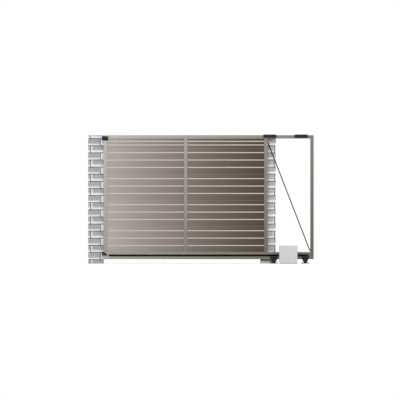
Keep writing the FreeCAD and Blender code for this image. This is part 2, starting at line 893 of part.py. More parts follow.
def guide(name, middle):
    """An inverted channel over the top rail with a pair of studs on each side for its rollers."""
    owner = body(name)
    profile = sketch(owner, "YZ_Plane")
    inner = GUIDE_HALF - S.guide_plate
    crown = GUIDE_ROOF + S.guide_plate
    polygon(
        profile,
        [
            (-GUIDE_HALF, GUIDE_LOW),
            (-inner, GUIDE_LOW),
            (-inner, GUIDE_ROOF),
            (inner, GUIDE_ROOF),
            (inner, GUIDE_LOW),
            (GUIDE_HALF, GUIDE_LOW),
            (GUIDE_HALF, crown),
            (-GUIDE_HALF, crown),
        ],
    )
    channel = pad(owner, profile, S.guide_length, symmetric=True)

    def outer_bend(edge):
        box = edge.BoundBox
        return runs_along(edge, "x") and near(box.ZMin, crown) and near(abs(box.YMin), GUIDE_HALF)

    def inner_bend(edge):
        box = edge.BoundBox
        return runs_along(edge, "x") and near(box.ZMin, GUIDE_ROOF) and near(abs(box.YMin), inner)

    folded = soften(owner, channel, S.guide_bend + S.guide_plate, outer_bend)
    soften(owner, folded, S.guide_bend, inner_bend)
    studs = sketch(owner, "XY_Plane", GUIDE_ROOF)
    reach = HALF_DEPTH + S.guide_play + S.guide_roller_radius
    for across in (-S.guide_stud_spread, S.guide_stud_spread):
        for along in (-reach, reach):
            circle(studs, across, along, S.guide_stud_radius)
    pad(owner, studs, S.guide_roller_height + S.running_gap + S.guide_stud_end, back=True)
    place(owner, GATE_X + middle, LEAF_Y)
    keep(owner, name)
    rollers = []
    for column, across in (("a", -S.guide_stud_spread), ("b", S.guide_stud_spread)):
        for side, along in (("yard", -reach), ("street", reach)):
            roller = ring(
                f"{name}_{side}_{column}",
                "Z",
                S.guide_stud_radius + S.bore_play,
                S.guide_roller_radius,
                S.guide_roller_height,
                S.roller_chamfer,
            )
            height = LEAF_TOP - S.guide_roller_height / 2
            place(roller, GATE_X + middle + across, LEAF_Y + along, height)
            rollers.append(roller)
    group(name.replace("bracket", "rollers"), rollers)


def guides():
    second = S.guide_offset + S.carriage_spacing
    guide("front_guide_bracket", S.guide_offset)
    guide("rear_guide_bracket", second)
    half = S.guide_length / 2
    keep(
        block(
            "guide_rail",
            (GATE_X + S.guide_offset - half, LEAF_Y + GUIDE_HALF, GUIDE_LOW),
            (S.carriage_spacing + S.guide_length, S.leaf_setback - GUIDE_HALF, S.guide_drop),
        ),
        "guide_bar",
    )


# Catchers


def catcher_plan(made, reach, gap):
    """Bent plate seen from above: two flared cheeks, the web between them and a tongue along the pillar."""
    out = gap + S.catcher_plate
    flare = S.catcher_flare
    bend = reach - flare * 2
    back = -S.catcher_back
    web = back + S.catcher_plate
    tongue = S.leaf_setback + S.catcher_tongue
    polygon(
        made,
        [
            (back, -out),
            (bend, -out),
            (reach, -out - flare),
            (reach, -gap - flare),
            (bend, -gap),
            (web, -gap),
            (web, gap),
            (bend, gap),
            (reach, gap + flare),
            (reach, out + flare),
            (bend, out),
            (S.catcher_plate, out),
            (S.catcher_plate, tongue),
            (ZERO, tongue),
            (ZERO, out),
            (back, out),
        ],
    )


def fold(owner, plate, gap):
    """Bends the catcher's web into its cheeks with the plate's own bend radius."""
    back = -S.catcher_back
    web = back + S.catcher_plate
    out = gap + S.catcher_plate

    def outer_bend(edge):
        box = edge.BoundBox
        return runs_along(edge, "z") and near(box.XMin, back) and near(abs(box.YMin), out)

    def inner_bend(edge):
        box = edge.BoundBox
        return runs_along(edge, "z") and near(box.XMin, web) and near(abs(box.YMin), gap)

    folded = soften(owner, plate, S.catcher_bend + S.catcher_plate, outer_bend)
    soften(owner, folded, S.catcher_bend, inner_bend)


def catchers():
    upper = body("upper_catcher")
    plan = sketch(upper, "XY_Plane", LEAF_TOP - S.upper_drop - S.upper_height)
    gap = HALF_DEPTH + S.running_gap
    catcher_plan(plan, S.upper_reach, gap)
    fold(upper, pad(upper, plan, S.upper_height), gap)
    place(upper, LEAF_X, LEAF_Y)
    keep(upper, "upper_catcher")
    lower = body("lower_catcher")
    low = S.ground_gap + S.lower_rise
    high = low + S.lower_height
    plan = sketch(lower, "XY_Plane", low)
    gap = HALF_BEAM + S.running_gap
    catcher_plan(plan, S.lower_reach, gap)
    fold(lower, pad(lower, plan, S.lower_height), gap)
    slope = sketch(lower, "XZ_Plane")
    start = S.lower_top - S.catcher_back
    tip = low + S.lower_tip
    end = S.lower_reach + S.cut_over
    above = high + S.cut_over
    polygon(slope, [(start, high), (S.lower_reach, tip), (end, tip), (end, above), (start, above)])
    pocket(lower, slope, (S.leaf_setback + S.catcher_tongue + S.cut_over) * 2)
    place(lower, LEAF_X, LEAF_Y)
    keep(lower, "lower_catcher")


# Build and export

pillars()
frame()
beam()
panels()
brace()
rack()
pinion()
drive()
carriage("front_carriage", S.carriage_offset)
carriage("rear_carriage", S.carriage_offset + S.carriage_spacing)
guides()
catchers()

DOC.recompute()
for made in DOC.Objects:
    if "Invalid" in made.State or "Error" in made.State:
        raise RuntimeError(f"{made.Label} did not compute: {made.State}")
os.makedirs("parts", exist_ok=True)
for node, made in NODES:
    if made.Shape.isNull() or not made.Shape.isValid() or not made.Shape.Solids:
        raise RuntimeError(f"{node} has no valid solid")
for node, made in NODES:
    made.Shape.exportStep(f"parts/{node}.step")
    print(node, len(made.Shape.Solids), round(made.Shape.Volume / 1000, 1), "cm3", made.Shape.BoundBox)
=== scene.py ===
import bmesh
import bpy
import json
import math
import random
from mathutils import Matrix, Vector


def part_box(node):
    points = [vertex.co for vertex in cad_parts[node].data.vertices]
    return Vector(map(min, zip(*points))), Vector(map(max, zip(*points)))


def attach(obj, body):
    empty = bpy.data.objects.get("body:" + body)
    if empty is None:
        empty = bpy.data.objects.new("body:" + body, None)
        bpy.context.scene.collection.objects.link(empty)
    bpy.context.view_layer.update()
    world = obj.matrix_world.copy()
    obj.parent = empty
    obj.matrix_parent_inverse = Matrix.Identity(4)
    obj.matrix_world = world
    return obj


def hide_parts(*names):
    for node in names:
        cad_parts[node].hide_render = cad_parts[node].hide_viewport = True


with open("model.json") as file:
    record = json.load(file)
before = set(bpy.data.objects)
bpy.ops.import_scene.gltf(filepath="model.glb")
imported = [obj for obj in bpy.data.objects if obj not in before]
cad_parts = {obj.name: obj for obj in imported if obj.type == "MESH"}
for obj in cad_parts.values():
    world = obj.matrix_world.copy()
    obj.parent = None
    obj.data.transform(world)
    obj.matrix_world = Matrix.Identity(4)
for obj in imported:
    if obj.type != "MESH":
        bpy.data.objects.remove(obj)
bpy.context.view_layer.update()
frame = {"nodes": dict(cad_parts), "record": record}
nodes = frame["nodes"]

# The leaf's middle plane, its lowest panel joint and the height of a full panel, in metres
rail_low, rail_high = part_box("top_rail")
LEAF_PLANE = (rail_low[1] + rail_high[1]) / 2
PANEL_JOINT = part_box("left_panel_2")[0][2]
PANEL_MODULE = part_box("left_panel_3")[0][2] - PANEL_JOINT

# Directions
UP = (0.0, 0.0, 1.0)
TO_YARD = (0.0, -1.0, 0.0)
TO_STREET = (0.0, 1.0, 0.0)
OPENING_WAY = (1.0, 0.0, 0.0)

WHITE = (1.0, 1.0, 1.0, 1.0)
BLACK = (0.0, 0.0, 0.0, 1.0)


# Node helpers


def shade_of(red, green, blue):
    """A colour given as it looks on screen, in the shader's own linear numbers."""
    linear = []
    for channel in (red, green, blue):
        part = channel / 255
        linear.append(part / 12.92 if part <= 0.04045 else ((part + 0.055) / 1.055) ** 2.4)
    return (*linear, 1.0)


class Tree:
    """Adds nodes and links to one node tree."""

    def __init__(self, tree):
        self.tree = tree

    def node(self, kind, **values):
        made = self.tree.nodes.new(kind)
        for name, value in values.items():
            setattr(made, name, value)
        return made

    def link(self, start, end):
        self.tree.links.new(start, end)

    def put(self, socket, value):
        """Links an output to a socket, or sets the socket to a plain value."""
        if isinstance(value, bpy.types.NodeSocket):
            self.link(value, socket)
        else:
            socket.default_value = value

    def math(self, operation, first, second=0.0, clamp=False):
        made = self.node("ShaderNodeMath", operation=operation, use_clamp=clamp)
        self.put(made.inputs[0], first)
        self.put(made.inputs[1], second)
        return made.outputs[0]

    def range(self, value, low, high, start=0.0, end=1.0, smooth=True):
        """Maps a value from low and high to start and end, and no further."""
        made = self.node("ShaderNodeMapRange", interpolation_type="SMOOTHSTEP" if smooth else "LINEAR")
        for name, number in (
            ("Value", value),
            ("From Min", low),
            ("From Max", high),
            ("To Min", start),
            ("To Max", end),
        ):
            self.put(made.inputs[name], number)
        return made.outputs["Result"]

    def mix(self, factor, first, second):
        made = self.node("ShaderNodeMix", data_type="RGBA")
        self.put(made.inputs["Factor"], factor)
        self.put(made.inputs["A"], first)
        self.put(made.inputs["B"], second)
        return made.outputs["Result"]

    def scale(self, color, level):
        made = self.node("ShaderNodeVectorMath", operation="SCALE")
        self.put(made.inputs[0], color)
        self.put(made.inputs["Scale"], level)
        return made.outputs[0]

    def noise(self, vector, scale, detail=3.0, roughness=0.55):
        made = self.node("ShaderNodeTexNoise")
        self.put(made.inputs["Vector"], vector)
        self.put(made.inputs["Scale"], scale)
        made.inputs["Detail"].default_value = detail
        made.inputs["Roughness"].default_value = roughness
        return made.outputs["Fac"]

    def place(self):
        return self.node("ShaderNodeTexCoord").outputs["Object"]

    def split(self, vector):
        made = self.node("ShaderNodeSeparateXYZ")
        self.put(made.inputs[0], vector)
        return made.outputs

    def placed(self, shared, values):
        """Places a shared group here with its own values, and gives its outputs."""
        made = self.node("ShaderNodeGroup", node_tree=shared)
        for name, value in values.items():
            self.put(made.inputs[name], value)
        return made.outputs

    def seen_directly(self):
        """One for what is looked at, also in a mirror or through glass, and zero for light that bounces."""
        path = self.node("ShaderNodeLightPath").outputs
        mirrored = self.math("MAXIMUM", path["Is Glossy Ray"], path["Is Transmission Ray"])
        return self.math("MAXIMUM", path["Is Camera Ray"], mirrored)


def group(name, inputs, outputs):
    """An empty shader group with named sockets, and its tree, input node and output node."""
    made = bpy.data.node_groups.new(name, "ShaderNodeTree")
    for label, kind, value in inputs:
        socket = made.interface.new_socket(label, in_out="INPUT", socket_type=kind)
        socket.default_value = value
    for label, kind in outputs:
        made.interface.new_socket(label, in_out="OUTPUT", socket_type=kind)
    tree = Tree(made)
    return made, tree, tree.node("NodeGroupInput"), tree.node("NodeGroupOutput")


SCREEN_GAMMA = 2.2

# How far the orange peel moves a coat's roughness
GLOSS_SWING = 0.15

# The colour of the marks that a tool leaves, and how strongly they tint the steel
TOOL_MARK = (60, 60, 60)
MARK_TINT = 0.3


def falling_tone_group():
    """Painted light falloff on a coat: it darkens along the leaf and down it, mixed in screen tones."""
    made, tree, start, end = group(
        "painted_light_falloff",
        [
            ("Light", "NodeSocketColor", WHITE),
            ("Dark", "NodeSocketColor", BLACK),
            ("Along", "NodeSocketFloat", 0.0),
            ("Down", "NodeSocketFloat", 0.0),
            ("Offset", "NodeSocketFloat", 0.0),
        ],
        [("Color", "NodeSocketColor")],
    )
    x, _, z = tree.split(tree.place())
    along = tree.math("MULTIPLY", x, start.outputs["Along"])
    down = tree.math("MULTIPLY", z, start.outputs["Down"])
    share = tree.math("ADD", along, tree.math("SUBTRACT", start.outputs["Offset"], down), clamp=True)
    tone = tree.mix(share, start.outputs["Light"], start.outputs["Dark"])
    gamma = tree.node("ShaderNodeGamma")
    gamma.inputs["Gamma"].default_value = SCREEN_GAMMA
    tree.link(tone, gamma.inputs["Color"])
    tree.link(gamma.outputs["Color"], end.inputs["Color"])
    return made


def coat_grain_group():
    """The fine orange peel of a sprayed or powder coat, with a slow drift of tone and a change of gloss."""
    made, tree, start, end = group(
        "coat_grain",
        [
            ("Color", "NodeSocketColor", WHITE),
            ("Peel Scale", "NodeSocketFloat", 500.0),
            ("Drift", "NodeSocketFloat", 0.05),
            ("Roughness", "NodeSocketFloat", 0.5),
        ],
        [("Color", "NodeSocketColor"), ("Roughness", "NodeSocketFloat"), ("Height", "NodeSocketFloat")],
    )
    place = tree.place()
    slow = tree.noise(place, scale=3.0, detail=4.0)
    peel = tree.noise(place, scale=start.outputs["Peel Scale"], detail=2.0)
    swing = tree.math("MULTIPLY", tree.math("SUBTRACT", slow, 0.5), start.outputs["Drift"])
    color = tree.scale(start.outputs["Color"], tree.math("ADD", swing, 1.0))
    tree.link(color, end.inputs["Color"])
    gloss = tree.math("MULTIPLY", tree.math("SUBTRACT", peel, 0.5), GLOSS_SWING)
    tree.link(tree.math("ADD", start.outputs["Roughness"], gloss), end.inputs["Roughness"])
    tree.link(peel, end.inputs["Height"])
    return made


def tool_marks_group():
    """The fine grain of tool marks on machined steel, in its tone, gloss and height."""
    made, tree, start, end = group(
        "tool_marks",
        [("Color", "NodeSocketColor", WHITE)],
        [("Color", "NodeSocketColor"), ("Roughness", "NodeSocketFloat"), ("Height", "NodeSocketFloat")],
    )
    marks = tree.noise(tree.place(), scale=900.0, detail=2.0)
    tint = tree.math("MULTIPLY", marks, MARK_TINT)
    tree.link(tree.mix(tint, start.outputs["Color"], shade_of(*TOOL_MARK)), end.inputs["Color"])
    tree.link(tree.range(marks, 0.0, 1.0, start=0.28, end=0.5), end.inputs["Roughness"])
    tree.link(marks, end.inputs["Height"])
    return made


def sand_grain_group():
    """The sandy grain of mortar and concrete, between a dark and a light tone."""
    made, tree, start, end = group(
        "sand_grain",
        [("Dark", "NodeSocketColor", BLACK), ("Light", "NodeSocketColor", WHITE)],
        [("Color", "NodeSocketColor"), ("Height", "NodeSocketFloat")],
    )
    sand = tree.noise(tree.place(), scale=380.0, detail=4.0, roughness=0.7)
    tree.link(tree.mix(sand, start.outputs["Dark"], start.outputs["Light"]), end.inputs["Color"])
    tree.link(sand, end.inputs["Height"])
    return made


PAINTED_FALLOFF = falling_tone_group()
COAT_GRAIN = coat_grain_group()
TOOL_MARKS = tool_marks_group()
SAND_GRAIN = sand_grain_group()


# Materials

BUMP_STRENGTH = 0.5


def finish_of(name, specular, metallic=0.0):
    """A material with only its surface shader, ready for its colour."""
    made = bpy.data.materials.new(name)
    made.use_nodes = True
    tree = Tree(made.node_tree)
    shader = made.node_tree.nodes["Principled BSDF"]
    shader.inputs["Specular IOR Level"].default_value = specular
    shader.inputs["Metallic"].default_value = metallic
    return made, tree, shader


def bump(tree, shader, height, distance):
    made = tree.node("ShaderNodeBump")
    made.inputs["Distance"].default_value = distance
    made.inputs["Strength"].default_value = BUMP_STRENGTH
    tree.link(height, made.inputs["Height"])
    tree.link(made.outputs["Normal"], shader.inputs["Normal"])


def coated(tree, shader, color, roughness, drift, peel=500.0, depth=0.0002):
    """Runs a colour through the coat's grain into the shader."""
    values = {"Color": color, "Peel Scale": peel, "Drift": drift, "Roughness": roughness}
    grain = tree.placed(COAT_GRAIN, values)
    tree.link(grain["Color"], shader.inputs["Base Color"])
    tree.link(grain["Roughness"], shader.inputs["Roughness"])
    bump(tree, shader, grain["Height"], depth)


def falloff_tone(tree, light, dark, along, down, offset):
    """A coat's colour between two screen colours, with painted light falloff: darker along the leaf and
    lighter with height.
    """
    values = {
        "Light": [channel / 255 for channel in light] + [1.0],
        "Dark": [channel / 255 for channel in dark] + [1.0],
        "Along": along,
        "Down": down,
        "Offset": offset,
    }
    return tree.placed(PAINTED_FALLOFF, values)["Color"]


# Painted light falloff: panels are light at the leading end of the leaf and darken over a span of it
PANEL_LIGHT = (165, 159, 154)
PANEL_DARK = (74, 64, 54)
PANEL_TONE_START = -2.989
PANEL_TONE_SPAN = 2.872

# Each panel lightens a little towards its upper edge, and the leaf is painted lighter towards the ground,
# against the shade near the floor
PANEL_LIFT = (0.965, 1.035)
PAINTED_LIFT_TOP = 1.5
PAINTED_LIFT_FOOT = 0.2
PAINTED_LIFT_LEVEL = 1.13

# Ribs are told by their distance from the leaf's plane, joints by their share of a module from its middle
# The rib grooves get a pale painted highlight, dulled at each joint
RIB_HIGHLIGHT = (206, 199, 191)
RIB_EDGE = 0.0198
RIB_FLOOR = 0.0190
JOINT_EDGE = 0.488
JOINT_FLOOR = 0.491
JOINT_DULLING = 0.6


def panel_finish():
    """Taupe panel coat with painted light falloff along the leaf, painted lighter towards the ground against
    the shade there, with a pale painted highlight in the rib grooves and a faint one at each joint.
    """
    made, tree, shader = finish_of("panel_coat", specular=0.2)
    offset = -PANEL_TONE_START / PANEL_TONE_SPAN
    coat = falloff_tone(tree, PANEL_LIGHT, PANEL_DARK, along=1 / PANEL_TONE_SPAN, down=0.0, offset=offset)
    _, y, z = tree.split(tree.place())
    row = tree.math("FRACT", tree.math("DIVIDE", tree.math("SUBTRACT", z, PANEL_JOINT), PANEL_MODULE))
    lift = tree.range(row, 0.0, 1.0, *PANEL_LIFT, smooth=False)
    # Painted light towards the ground, against the shade near the floor
    painted_lift = tree.range(z, PAINTED_LIFT_TOP, PAINTED_LIFT_FOOT, 1.0, PAINTED_LIFT_LEVEL, smooth=False)
    coat = tree.scale(coat, tree.math("MULTIPLY", lift, painted_lift))
    depth = tree.math("ABSOLUTE", tree.math("SUBTRACT", y, LEAF_PLANE))
    groove = tree.range(depth, RIB_EDGE, RIB_FLOOR)
    edge = tree.math("ABSOLUTE", tree.math("SUBTRACT", row, 0.5))
    joint = tree.range(edge, JOINT_EDGE, JOINT_FLOOR)
    dulled = tree.math("SUBTRACT", 1.0, tree.math("MULTIPLY", joint, JOINT_DULLING))
    # Painted highlight in the rib grooves, fainter at each joint
    rib = tree.math("MULTIPLY", groove, dulled)
    coated(tree, shader, tree.mix(rib, coat, shade_of(*RIB_HIGHLIGHT)), roughness=0.5, drift=0.04)
    return made


def frame_finish(name, light, dark):
    """Coat of the frame tubes and the beam, with painted light falloff: lightest at the leaf's upper leading
    corner.
    """
    made, tree, shader = finish_of(name, specular=0.3)
    tone = falloff_tone(tree, light, dark, along=0.1588, down=0.135, offset=0.854)
    coated(tree, shader, tone, roughness=0.45, drift=0.04)
    return made


def coat_finish(name, color, roughness, specular, peel, drift=0.1, depth=0.0002):
    made, tree, shader = finish_of(name, specular)
    coated(tree, shader, shade_of(*color), roughness, drift, peel, depth)
    return made


def turned_steel_finish(name, color):
    """Machined steel with a fine grain of tool marks."""
    made, tree, shader = finish_of(name, specular=0.5, metallic=0.9)
    grain = tree.placed(TOOL_MARKS, {"Color": shade_of(*color)})
    tree.link(grain["Color"], shader.inputs["Base Color"])
    tree.link(grain["Roughness"], shader.inputs["Roughness"])
    bump(tree, shader, grain["Height"], distance=0.0001)
    return made


# A brick's own pale colour, and the grey of its painted shade
BRICK_PALE = (240, 240, 242)
PAINTED_BRICK_SHADE = (152, 153, 155)

# How far the edges of the painted shade patch wander, and the shares of height and length over which it sets
# in
PATCH_WANDER = 0.3
PATCH_RISE = (0.08, 0.48)
PATCH_INWARD = (0.02, 0.2)

# How much deeper the slow hollows of a brick's face are than its speckle
HOLLOW_RELIEF = 2.0

# The level of a brick's colour at tone 0, and how much a tone of 1 adds to it
BRICK_LEVEL = 0.96
BRICK_TONE_STEP = 0.08


def brick_finish():
    """Pale split brick: a speckled grey patch of painted shade on each face, clearing to a painted highlight
    at its lower edge and joint end.

    The layer face holds the share along the brick from its joint end and the share of its height. The layer
    own holds the brick's tone and how far the face has lost its painted shade.
    """
    made, tree, shader = finish_of("brick_face", specular=0.2)
    along, up, _ = tree.split(tree.node("ShaderNodeUVMap", uv_map="face").outputs["UV"])
    tone, pale, _ = tree.split(tree.node("ShaderNodeUVMap", uv_map="own").outputs["UV"])
    place = tree.place()
    speckle = tree.noise(place, scale=75.0, detail=5.0, roughness=0.75)
    cloud = tree.noise(place, scale=34.0, detail=3.0)
    # The grey patch is painted shade: darker higher up, clearing to a painted highlight at the lower edge
    # and joint end
    wander = tree.math("MULTIPLY", tree.math("SUBTRACT", cloud, 0.5), PATCH_WANDER)
    rise = tree.range(tree.math("ADD", up, wander), *PATCH_RISE)
    inward = tree.range(tree.math("ADD", along, wander), *PATCH_INWARD)
    patch = tree.math("MULTIPLY", rise, inward)
    patch = tree.math("MULTIPLY", patch, tree.math("SUBTRACT", 1.0, pale))
    grit = tree.range(speckle, 0.34, 0.66, start=0.55, end=1.15)
    shaded = tree.mix(tree.math("MULTIPLY", patch, grit), shade_of(*BRICK_PALE), shade_of(*PAINTED_BRICK_SHADE))
    level = tree.math("ADD", BRICK_LEVEL, tree.math("MULTIPLY", tone, BRICK_TONE_STEP))
    tree.link(tree.scale(shaded, level), shader.inputs["Base Color"])
    tree.link(tree.range(speckle, 0.2, 0.8, start=0.8, end=0.95), shader.inputs["Roughness"])
    relief = tree.math("ADD", speckle, tree.math("MULTIPLY", cloud, HOLLOW_RELIEF))
    bump(tree, shader, relief, distance=0.0015)
    return made


def mortar_finish(name, dark, light):
    """Sandy mortar or concrete."""
    made, tree, shader = finish_of(name, specular=0.1)
    grain = tree.placed(SAND_GRAIN, {"Dark": shade_of(*dark), "Light": shade_of(*light)})
    tree.link(grain["Color"], shader.inputs["Base Color"])
    shader.inputs["Roughness"].default_value = 0.95
    bump(tree, shader, grain["Height"], distance=0.001)
    return made


PANEL = panel_finish()
FRAME = frame_finish("frame_coat", light=(186, 181, 177), dark=(92, 87, 78))
# The beam's coat is a lighter copy of the frame's, with painted light against the shade by the rack and the
# floor
BEAM = frame_finish("beam_coat", light=(203, 198, 194), dark=(108, 102, 93))
RACK = coat_finish("rack_nylon", (3, 2, 2), roughness=0.8, specular=0.01, peel=700.0)
HARDWARE = coat_finish("black_powder_coat", (42, 38, 39), roughness=0.65, specular=0.12, peel=900.0)
NYLON = coat_finish("roller_nylon", (40, 40, 40), roughness=0.5, specular=0.3, peel=600.0)
BRACE = coat_finish("brace_coat", (32, 30, 30), roughness=0.6, specular=0.1, peel=600.0)
HOUSING = coat_finish(
    "housing_plastic", (211, 209, 207), roughness=0.6, specular=0.3, peel=900.0, drift=0.03, depth=0.0003
)
STEEL = turned_steel_finish("turned_steel", (150, 150, 152))
ZINC = turned_steel_finish("zinc_fastener", (120, 120, 124))
BRICK = brick_finish()
MORTAR = mortar_finish("mortar", dark=(52, 54, 58), light=(86, 88, 92))
CONCRETE = mortar_finish("core_concrete", dark=(150, 150, 148), light=(182, 181, 178))

FINISHES = {
    "panel": PANEL,
    "frame": FRAME,
    "beam": BEAM,
    "brace": BRACE,
    "rack": RACK,
    "hardware": HARDWARE,
    "nylon": NYLON,
    "axle": STEEL,
    "pinion": STEEL,
    "housing": HOUSING,
    "brick": BRICK,
}


def dress(obj, finish):
    """Gives a CAD node one finish all over."""
    if not obj.material_slots:
        obj.data.materials.append(finish)
    for slot in obj.material_slots:
        slot.material = finish


for part in frame["record"]["subparts"]:
    dress(nodes[part["node"]], FINISHES[part["material_slot"]])
# The bottom rail takes the beam's coat, which is painted lighter than the frame's against the shade there
dress(nodes["bottom_rail"], BEAM)


# Mesh helpers


def linked(name, data):
    """A new object, in the scene's own collection."""
    obj = bpy.data.objects.new(name, data)
    bpy.context.scene.collection.objects.link(obj)
    return obj


def piece(name, shape, body, material):
    """Makes a finished bmesh into an object that rides on a body."""
    mesh = bpy.data.meshes.new(name)
    shape.to_mesh(mesh)
    shape.free()
    mesh.materials.append(material)
    obj = linked(name, mesh)
    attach(obj, body)
    return obj


def round_edges(shape, edges, rounding):
    bmesh.ops.bevel(shape, geom=edges, offset=rounding, segments=2, profile=0.5, affect="EDGES", material=-1)


def add_block(shape, low, high, rounding):
    """Adds a box with rounded edges between two corners."""
    low, high = Vector(low), Vector(high)
    made = bmesh.ops.create_cube(shape, size=1.0)["verts"]
    stretch = Matrix.Translation((low + high) / 2) @ Matrix.Diagonal((*(high - low), 1.0))
    bmesh.ops.transform(shape, matrix=stretch, verts=made)
    round_edges(shape, list({edge for vert in made for edge in vert.link_edges}), rounding)


# Brick pillars, in metres

COURSE = 0.1366
FIRST_COURSE = 0.073
MORTAR_GAP = 0.013
MORTAR_RECESS = 0.005
BRICK_ROUNDING = 0.0025
CORE_ROUNDING = 0.002

# A brick's face is uneven inside a margin, and its edges are divided where they are longer than LONG_EDGE
FACE_MARGIN = 0.006
UNEVENNESS = 0.0016
LONG_EDGE = 0.03

# A face counts as a brick's end where its direction has more than this share along the brick
END_FACING = 0.7

# How far the painted shade clears from the brick ends in mirrored and in other courses, and how far that
# moves the painted shade patch
MIRRORED_CLEAR = 0.1
OTHER_CLEAR = 0.85
CLEAR_SHIFT = 0.12

# How much of the painted shade patch a pillar has lost where it is fully lightened with painted light
LIGHTENED_FACE_CLEAR = 0.1


def lay_brick(shape, low, high, foot, axis, joint_end, clear, painted_lightening):
    """One brick with worn edges and an uneven face, with its own coordinates for the brick finish.

    foot is the height of its lower edge before any cut by the ground, and joint_end the end of its long
    axis that meets the upright joint. clear tells how far the painted shade clears from the course's brick
    ends, and the last argument, from 0 to 1, how much painted light lifts its pillar against the leaf's
    shade.
    """
    # A brick's tone varies at random, and the pillar's painted light raises it
    tone = painted_lightening + random.random()
    uv_face = shape.loops.layers.uv["face"]
    uv_own = shape.loops.layers.uv["own"]
    before = set(shape.faces)
    add_block(shape, low, high, BRICK_ROUNDING)
    edges = {edge for face in shape.faces if face not in before for edge in face.edges}
    long_edges = [edge for edge in edges if edge.calc_length() > LONG_EDGE]
    bmesh.ops.subdivide_edges(shape, edges=long_edges, cuts=2, use_grid_fill=True)
    faces = [face for face in shape.faces if face not in before]
    low, high = Vector(low), Vector(high)
    inner = [
        vert
        for vert in {vert for face in faces for vert in face.verts}
        if all(low[i] + FACE_MARGIN < vert.co[i] < high[i] - FACE_MARGIN for i in (axis, 2))
    ]
    # The draws go by place, because the mesh tools leave the points in another order each run
    inner.sort(key=lambda vert: [round(value, 4) for value in vert.co])
    for vert in inner:
        vert.co -= vert.normal * random.uniform(0.0, UNEVENNESS)
    for face in faces:
        face.smooth = True
        is_end = abs(face.normal[axis]) > END_FACING
        # End faces lose painted shade by the course's clearing, other faces by the pillar's painted light
        pale = clear if is_end else LIGHTENED_FACE_CLEAR * painted_lightening
        for loop in face.loops:
            share = (loop.vert.co - low)[axis] / (high - low)[axis]
            if joint_end > 0:
                share = 1.0 - share
            rise = (loop.vert.co.z - foot) / (COURSE - MORTAR_GAP)
            loop[uv_face].uv = (share + clear * CLEAR_SHIFT, rise + (clear - 0.5) * CLEAR_SHIFT)
            loop[uv_own].uv = (tone, pale)


def course(half, thick, mirrored):
    """Plan corners, long axis and joint end of the four bricks that chase each other round a course."""
    corners = [Vector((-half, -half)), Vector((half - thick - MORTAR_GAP, thick - half))]
    flip = -1 if mirrored else 1
    bricks = []
    for quarter in range(4):
        xs = sorted(corner.x * flip for corner in corners)
        ys = sorted(corner.y for corner in corners)
        axis = quarter % 2
        joint_end = (1 if quarter < 2 else -1) * (1 if axis else flip)
        bricks.append((Vector((xs[0], ys[0], 0.0)), Vector((xs[1], ys[1], 0.0)), axis, joint_end))
        corners = [Vector((-corner.y, corner.x)) for corner in corners]
    return bricks


def pillar(node, laps, painted_lightening):
    """Brick courses with mortar between them, round a concrete core.

    laps gives, for even and odd courses, how far the front's upright joint is from the pillar's edge, and
    whether the course is mirrored, which puts that joint at the low-x edge. The last argument paints light
    on all its bricks, against the shade that the leaf casts on the pillar.
    """
    low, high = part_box(node)
    centre = (Vector(low) + Vector(high)) / 2
    half = (high[0] - low[0]) / 2
    bricks = bmesh.new()
    bricks.loops.layers.uv.new("face")
    bricks.loops.layers.uv.new("own")
    levels = [low[2], low[2] + FIRST_COURSE]
    while levels[-1] + COURSE < high[2] - MORTAR_GAP:
        levels.append(levels[-1] + COURSE)
    levels.append(high[2])
    bed = MORTAR_GAP / 2
    for number, (bottom, top) in enumerate(zip(levels, levels[1:])):
        lap, mirrored = laps[number % 2]
        clear = MIRRORED_CLEAR if mirrored else OTHER_CLEAR
        floor = bottom if number == 0 else bottom + bed
        roof = top if top == levels[-1] else top - bed
        foot = floor
        if number == 0:
            # The ground cuts the lowest course, and on a pillar with painted light the cut edge keeps the
            # painted highlight of a lower edge, against the shade under the beam
            foot -= (1.0 - painted_lightening) * (COURSE - FIRST_COURSE - bed)
        for near, far, axis, joint_end in course(half, lap - bed, mirrored):
            near = (centre.x + near.x, centre.y + near.y, floor)
            far = (centre.x + far.x, centre.y + far.y, roof)
            lay_brick(bricks, near, far, foot, axis, joint_end, clear, painted_lightening)
    wall = piece(f"{node}_bricks", bricks, "gateway", BRICK)
    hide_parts(node)
    mortar = bmesh.new()
    recess = Vector((MORTAR_RECESS, MORTAR_RECESS, 0.0))
    rim = Vector((0.0, 0.0, MORTAR_RECESS))
    add_block(mortar, Vector(low) + recess, Vector(high) - recess - rim, CORE_ROUNDING)
    piece(f"{node}_mortar", mortar, "gateway", MORTAR)
    core = bmesh.new()
    depth = max(lap for lap, _ in laps)
    inset = Vector((depth, depth, 0.0))
    add_block(core, Vector(low) + inset, Vector(high) - inset - rim / 2, CORE_ROUNDING)
    piece(f"{node}_core", core, "gateway", CONCRETE)


random.seed(11)
pillar("catch_pillar", laps=((0.049, True), (0.065, False)), painted_lightening=0.0)
# The guide pillar is painted lighter, against the shade that the leaf casts on it
pillar("guide_pillar", laps=((0.0245, False), (0.049, True)), painted_lightening=1.0)


# Bolts, nuts and screws, in metres

# The washer's radius, as a share of the width over a head's flats
WASHER_REACH = 0.72

# Rack screws sit this far below the rack's upper edge, at these shares of each length
BOSS_DROP = 0.011
BOSS_SHARES = (1 / 6, 3 / 6, 5 / 6)

# Nuts on the foot plates and on the guide brackets, with distances along and across from the middle
FOOT_TOP = 0.008
ANCHOR_REACH = (0.058, 0.0365)
STUD_REACH = (0.075, 0.0455)

# Bar bolts sit at these distances along the rear guide bracket
BAR_BOLT_INSETS = (0.04, 0.21)

# Catcher bolts go through a tongue, at these distances from its street edge and from its foot
TONGUE_THICK = 0.006
CATCHER_INSETS = (0.025, 0.075)
CATCHER_RISES = (0.02, 0.048)


